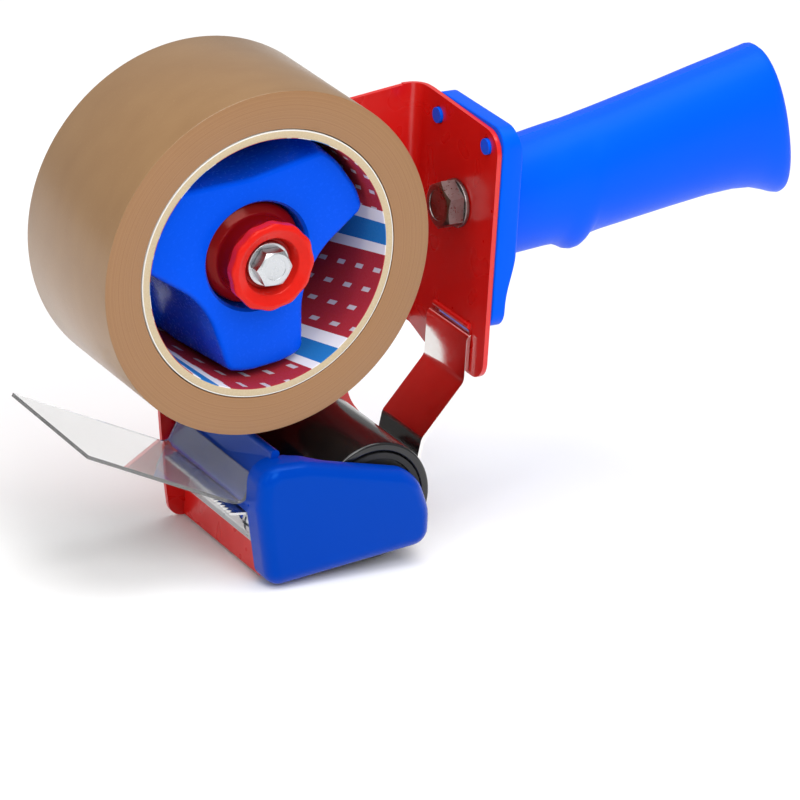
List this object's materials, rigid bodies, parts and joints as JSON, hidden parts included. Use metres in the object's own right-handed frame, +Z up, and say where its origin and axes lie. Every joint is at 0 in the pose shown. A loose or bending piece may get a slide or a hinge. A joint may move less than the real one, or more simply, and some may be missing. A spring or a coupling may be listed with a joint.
{
  "type": "tape gun dispenser",
  "caption": "Hand-held packing tape dispenser: bent steel frame, moulded grip, braked hub with a tape roll, pressure roller, guarded toothed blade and clear wiping flap.",
  "frame": {"origin": "centre of the bounding box, at its bottom", "axes": "+X along the handle, away from the roll; -Y the open side where a roll goes on; +Z up along the rear plate"},
  "size_m": [0.2452, 0.069, 0.1532],
  "materials": {
    "frame": "gloss red powder coat",
    "handle": "satin blue polypropylene",
    "handle_bolt": "dark plated steel",
    "handle_washer": "dark plated steel",
    "hub": "gloss blue moulding",
    "spindle_bolt": "bright zinc plate",
    "head_washer": "bright zinc plate",
    "spindle_lock_washer": "bright zinc plate",
    "spindle_nut": "bright zinc plate",
    "brake_knob": "gloss red moulding",
    "knob_seat": "plain steel",
    "brake_spring": "spring steel",
    "brake_disc": "pressed fibre",
    "rear_spacer": "plain steel",
    "tape": "brown film wound on itself",
    "core": "wound cardboard, printed inside",
    "roller_tyre": "smooth black rubber",
    "roller_core": "black moulding",
    "axle": "plain steel",
    "axle_clip_near": "dark spring steel",
    "axle_clip_far": "dark spring steel",
    "guard": "gloss blue moulding",
    "blade": "stamped steel, toothed edge",
    "blade_clamp": "light zinc plate",
    "screw_near": "bright zinc plate",
    "screw_far": "bright zinc plate",
    "flap_root": "clear PVC sheet",
    "flap_leaf": "clear PVC sheet",
    "lever": "nickel-plated spring strip"
  },
  "bodies": {
    "base": {"frame": "frame", "handle": "handle", "handle_bolt": "handle_bolt", "handle_washer": "handle_washer", "spindle_bolt": "spindle_bolt", "head_washer": "head_washer", "spindle_lock_washer": "spindle_lock_washer", "spindle_nut": "spindle_nut", "brake_spring": "brake_spring", "rear_spacer": "rear_spacer", "axle": "axle", "axle_clip_near": "axle_clip_near", "axle_clip_far": "axle_clip_far", "guard": "guard", "blade": "blade", "blade_clamp": "blade_clamp", "screw_near": "screw_near", "screw_far": "screw_far", "flap_root": "flap_root"},
    "hub": {"hub": "hub", "brake_disc": "brake_disc"},
    "roll": {"tape": "tape", "core": "core"},
    "seat": {"knob_seat": "knob_seat"},
    "knob": {"brake_knob": "brake_knob"},
    "roller": {"roller_tyre": "roller_tyre", "roller_core": "roller_core"},
    "lever": {"lever": "lever"},
    "flap": {"flap_leaf": "flap_leaf"}
  },
  "joints": [
    {"name": "hub_spin", "type": "hinge", "parent": "base", "child": "hub", "pos_m": [-0.06761, -0.0035, 0.10084], "axis": [0, 1, 0], "continuous": true},
    {"name": "roll_slide", "type": "slide", "parent": "hub", "child": "roll", "axis": [0, -1, 0], "range_m": [0, 0.06]},
    {"name": "brake_feed", "type": "slide", "parent": "base", "child": "seat", "axis": [0, 1, 0], "range_m": [0, 0.0025], "deforming": ["brake_spring"]},
    {"name": "knob_turn", "type": "hinge", "parent": "seat", "child": "knob", "pos_m": [-0.06761, -0.0035, 0.10084], "axis": [0, 1, 0], "range_deg": [0, 900]},
    {"name": "roller_spin", "type": "hinge", "parent": "base", "child": "roller", "pos_m": [-0.02801, -0.0035, 0.02014], "axis": [0, 1, 0], "continuous": true},
    {"name": "lever_swing", "type": "hinge", "parent": "base", "child": "lever", "pos_m": [0.01079, -0.003, 0.06034], "axis": [0, 1, 0], "range_deg": [0, 6]},
    {"name": "flap_flex", "type": "hinge", "parent": "base", "child": "flap", "pos_m": [-0.07061, -0.0035, 0.02494], "axis": [0, 1, 0], "range_deg": [-10, 18], "stiffness_Nm_per_rad": 0.12}
  ],
  "couplings": [
    {"joint": "knob_turn", "follows": "brake_feed", "rad_per_m": 6283.2}
  ]
}
